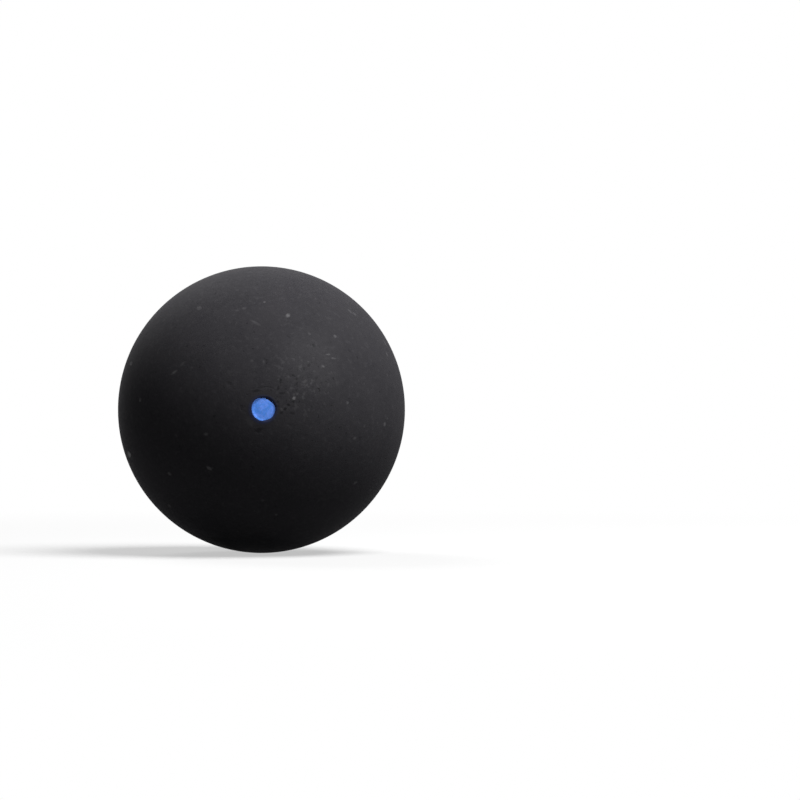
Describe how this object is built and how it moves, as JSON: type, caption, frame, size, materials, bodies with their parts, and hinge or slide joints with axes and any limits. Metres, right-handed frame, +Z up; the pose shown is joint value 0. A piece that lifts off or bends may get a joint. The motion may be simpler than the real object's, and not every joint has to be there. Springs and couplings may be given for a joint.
{
  "type": "squash ball",
  "caption": "Small hollow ball of matt black rubber half-shells cemented round a sealed air chamber, with a printed speed dot, hit with a racket against the walls of a court.",
  "frame": {"origin": "centre of the ball", "axes": "+Z up, with the printed dot facing -Y, the front; the cemented seam lies in the XZ plane, and the ball is round about Y"},
  "size_m": [0.04, 0.0401, 0.04],
  "materials": {
    "rubber": "buffed matt, with fine grain and small scuffs",
    "cement": "cured rubber cement, buffed flush",
    "dot_ink": "printed flexible ink, slightly mottled"
  },
  "bodies": {
    "root": {"dot_half_shell": "rubber", "plain_half_shell": "rubber", "seam_cement": "cement", "speed_dot": "dot_ink"}
  },
  "joints": []
}
